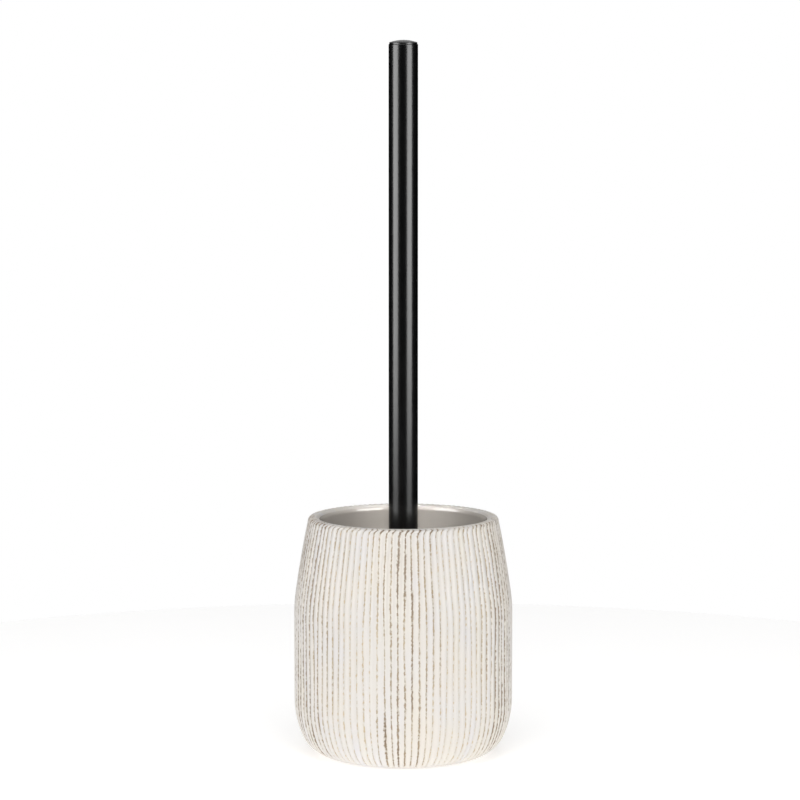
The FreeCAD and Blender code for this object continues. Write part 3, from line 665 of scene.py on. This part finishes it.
def tufts_of(name):
    """The root, direction and length of each tuft, from the CAD node's separate cones."""
    whole = bmesh.new()
    whole.from_mesh(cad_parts[name].data)
    bmesh.ops.remove_doubles(whole, verts=whole.verts, dist=1e-6)
    left = set(whole.verts)
    tufts = []
    while left:
        stack = [left.pop()]
        cone = list(stack)
        while stack:
            for side_edge in stack.pop().link_edges:
                for corner in side_edge.verts:
                    if corner in left:
                        left.remove(corner)
                        stack.append(corner)
                        cone.append(corner)
        centre = sum((v.co for v in cone), Vector()) / len(cone)
        hub = Vector((0, 0, centre.z if "row" in name else dome_centre))
        way = (centre - hub).normalized()
        deep = min((v.co - hub).dot(way) for v in cone)
        far = max((v.co - hub).dot(way) for v in cone)
        tufts.append((hub + way * deep, way, far - deep))
    whole.free()
    return sorted(tufts, key=lambda tuft: (round(tuft[0].z, 5), math.atan2(tuft[0].y, tuft[0].x)))


PHASE_STEP = 7.3
FIRST_SEED = 40
for order_of, name in enumerate(sorted(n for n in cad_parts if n.startswith("bristle"))):
    tufts = tufts_of(name)
    roots = bpy.data.meshes.new(name + "_roots")
    roots.from_pydata([root for root, way, length in tufts], [], [])
    on_points(roots, "aim", [v for root, way, length in tufts for v in way], "FLOAT_VECTOR")
    on_points(roots, "reach", [length for root, way, length in tufts])
    on_points(roots, "phase", [(PHASE_STEP * i + order_of) % math.tau for i in range(len(tufts))])
    bunches = grown("filaments_" + name.removeprefix("bristle_"), roots, brushing, {
        "Filaments per tuft": 38, "Filament radius": 0.0002, "Root radius": 0.00102, "Tip radius": 0.00255,
        "Curl": 0.0022, "Seed": FIRST_SEED + order_of, "Material": nylon})
    for spare in ("aim", "reach", "phase", "bend", "curl", "along"):
        if spare in bunches.data.attributes:
            bunches.data.attributes.remove(bunches.data.attributes[spare])
    bunches.data.shade_smooth()
    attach(bunches, "brush_head")
    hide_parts(name)

# ============================================================ the stud
# A zinc-plated M8 stud, rolled thread from end to end with a chamfer at each, which is
# locked in the handle's insert and screws into the core.
zinc, tree, shader = finish_of("bright_zinc", Metallic=1.0)
tree.links.new(blend(tree, grain(tree, 0.004), (0.60, 0.61, 0.63, 1), (0.72, 0.71, 0.66, 1)),
               shader.inputs["Base Color"])
tree.links.new(maths(tree, "MULTIPLY_ADD", grain(tree, 0.0007), 0.25, 0.18), shader.inputs["Roughness"])
stud_low, stud_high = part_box("threaded_stud")
STUD = stud_high.x - 0.00002
PITCH = 0.00125
THREAD_DEPTH = 0.00066
HALF_CREST = 0.0625  # of the pitch
THREAD_FLANK = 0.34  # of the pitch
STUD_CHAMFER = 0.0008
STUD_SIDES = 40
STEPS_PER_TURN = 8
stud_mesh = bpy.data.meshes.new("stud_thread")
stud_rows = round((stud_high.z - stud_low.z) / PITCH * STEPS_PER_TURN)
corners = []
for row_number in range(stud_rows + 1):
    level = stud_low.z + (stud_high.z - stud_low.z) * row_number / stud_rows
    end = min(level - stud_low.z, stud_high.z - level)
    limit = STUD - max(0.0, STUD_CHAMFER - end)
    for column_number in range(STUD_SIDES):
        angle = math.tau * column_number / STUD_SIDES
        cycle = ((level - stud_low.z) / PITCH - column_number / STUD_SIDES) % 1.0
        flank = min(1.0, max(0.0, (abs(cycle - 0.5) - HALF_CREST) / THREAD_FLANK))
        thread_radius = min(limit, STUD - THREAD_DEPTH * flank)
        corners.append((thread_radius * math.cos(angle), thread_radius * math.sin(angle), level))
faces = [(r * STUD_SIDES + c, r * STUD_SIDES + (c + 1) % STUD_SIDES,
          (r + 1) * STUD_SIDES + (c + 1) % STUD_SIDES, (r + 1) * STUD_SIDES + c)
         for r in range(stud_rows) for c in range(STUD_SIDES)]
faces.append(tuple(reversed(range(STUD_SIDES))))
faces.append(tuple(stud_rows * STUD_SIDES + c for c in range(STUD_SIDES)))
stud_mesh.from_pydata(corners, [], faces)
stud_mesh.materials.append(zinc)
stud = bpy.data.objects.new("stud_thread", stud_mesh)
bpy.context.scene.collection.objects.link(stud)
outside_out(stud_mesh)
smoothed(stud_mesh, 40)
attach(stud, "stud")
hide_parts("threaded_stud")

# ============================================================ the handle
# A straight steel tube in satin black paint. A moulded insert closes its lower end and
# holds the stud; a shallow domed cap is pressed into the top, with a fine joint under it.
TURNED_SIDES = 128


def turned(name, outline, material, body_name, cad_name):
    """A closed turned piece from its half section of (radius, height) in metres."""
    shell = bmesh.new()
    rings = []
    for radius_here, level in outline:
        if radius_here < 1e-7:
            rings.append([shell.verts.new((0, 0, level))])
        else:
            rings.append([shell.verts.new((radius_here * math.cos(math.tau * s / TURNED_SIDES),
                                           radius_here * math.sin(math.tau * s / TURNED_SIDES), level))
                          for s in range(TURNED_SIDES)])
    if len(rings[0]) > 1:
        rings.append(rings[0])
    for lower, upper in zip(rings, rings[1:]):
        for s in range(TURNED_SIDES):
            n = (s + 1) % TURNED_SIDES
            loop = [lower[s % len(lower)], lower[n % len(lower)], upper[n % len(upper)], upper[s % len(upper)]]
            kept = [v for i, v in enumerate(loop) if v not in loop[:i]]
            shell.faces.new(kept)
    mesh = bpy.data.meshes.new(name)
    shell.to_mesh(mesh)
    shell.free()
    mesh.materials.append(material)
    made = bpy.data.objects.new(name, mesh)
    bpy.context.scene.collection.objects.link(made)
    outside_out(mesh)
    smoothed(mesh, 35)
    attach(made, body_name)
    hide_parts(cad_name)


def corner(x, z, radius_here, first, last, steps=5):
    """Points round a corner's arc, angles in degrees."""
    return [(x + radius_here * math.cos(math.radians(first + (last - first) * s / steps)),
             z + radius_here * math.sin(math.radians(first + (last - first) * s / steps)))
            for s in range(steps + 1)]


paint, tree, shader = finish_of("satin_black_paint")
PAINT_DARK = (0.0015, 0.0015, 0.0016, 1)
PAINT_LIGHT = (0.0028, 0.0028, 0.003, 1)
mist = grain(tree, 0.0007)
tree.links.new(blend(tree, grain(tree, 0.010, stretch=(1, 1, 0.5)), PAINT_DARK, PAINT_LIGHT),
               shader.inputs["Base Color"])
handled = grain(tree, 0.004, stretch=(1, 1, 0.4), detail=3.0)
tree.links.new(maths(tree, "MULTIPLY_ADD", handled, 0.08, 0.19), shader.inputs["Roughness"])
tree.links.new(bump(tree, mist, depth=0.000012, strength=0.5), shader.inputs["Normal"])

insert_low, insert_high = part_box("thread_insert")
tube_low, tube_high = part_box("handle_tube")
cap_low, cap_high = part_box("handle_end_cap")
TUBE = tube_high.x
TUBE_WALL = 0.001
TUBE_EDGE = 0.0004
TUBE_STEPS = 12
SLIP = 0.00005
BUTT_JOINT = 0.00001
BORE = TUBE - TUBE_WALL
PLUG = BORE - SLIP
FLANGE = insert_high.x
FLANGE_EDGE = 0.0003
PLUG_EDGE = 0.0004
STUD_BORE = stud_high.x + SLIP
BORE_END = insert_high.z - 0.003

insert_outline = [(0, BORE_END), (STUD_BORE, BORE_END), (STUD_BORE, insert_low.z)]
insert_outline += corner(FLANGE - FLANGE_EDGE, insert_low.z + FLANGE_EDGE, FLANGE_EDGE, -90, 0)
insert_outline += [(FLANGE, tube_low.z - BUTT_JOINT), (PLUG, tube_low.z - BUTT_JOINT)]
insert_outline += corner(PLUG - PLUG_EDGE, insert_high.z - PLUG_EDGE, PLUG_EDGE, 0, 90)
insert_outline += [(0, insert_high.z)]
turned("insert_moulding", insert_outline, moulded, "handle", "thread_insert")

tube_outline = corner(TUBE - TUBE_EDGE, tube_low.z + TUBE_EDGE, TUBE_EDGE, -90, 0)
tube_outline += [(TUBE, tube_low.z + (tube_high.z - tube_low.z) * s / TUBE_STEPS) for s in range(1, TUBE_STEPS)]
tube_outline += corner(TUBE - TUBE_EDGE, tube_high.z - TUBE_EDGE, TUBE_EDGE, 0, 90)
tube_outline += [(BORE, tube_high.z), (BORE, tube_low.z)]
turned("painted_tube", tube_outline, paint, "handle", "handle_tube")

cap_plastic, tree, shader = finish_of("cap_plastic", Coat_Weight=0.15, Coat_Roughness=0.2)
tree.links.new(blend(tree, grain(tree, 0.006), (0.002, 0.002, 0.0022, 1), (0.004, 0.004, 0.0043, 1)),
               shader.inputs["Base Color"])
tree.links.new(maths(tree, "MULTIPLY_ADD", grain(tree, 0.001), 0.15, 0.26), shader.inputs["Roughness"])
tree.links.new(bump(tree, grain(tree, 0.0005), depth=0.000015, strength=0.5), shader.inputs["Normal"])
CAP = cap_high.x
CAP_DOME = 0.0225
CAP_WALL = 0.0012
CAP_EDGE = 0.00025
LEAD_IN = 0.0003
UNDER_DOME_STEPS = 6
dome_z = cap_high.z - CAP_DOME
edge_z = dome_z + math.sqrt((CAP_DOME - CAP_EDGE)**2 - (CAP - CAP_EDGE)**2)
skirt = PLUG - CAP_WALL
cap_outline = [(0, dome_z + CAP_DOME - CAP_WALL)]
for step in range(1, UNDER_DOME_STEPS + 1):
    under = skirt * step / UNDER_DOME_STEPS
    cap_outline.append((under, dome_z + math.sqrt((CAP_DOME - CAP_WALL)**2 - under**2)))
cap_outline += [(skirt, cap_low.z), (PLUG - LEAD_IN, cap_low.z), (PLUG, cap_low.z + LEAD_IN),
                (PLUG, tube_high.z + BUTT_JOINT), (CAP, tube_high.z + BUTT_JOINT)]
edge_first = math.degrees(math.atan2(edge_z - dome_z, CAP - CAP_EDGE))
cap_outline += corner(CAP - CAP_EDGE, edge_z, CAP_EDGE, 0, edge_first, 4)
cap_outline += corner(0, dome_z, CAP_DOME, edge_first, 90, 14)[1:-1]
cap_outline += [(0, cap_high.z)]
turned("domed_cap", cap_outline, cap_plastic, "handle", "handle_end_cap")
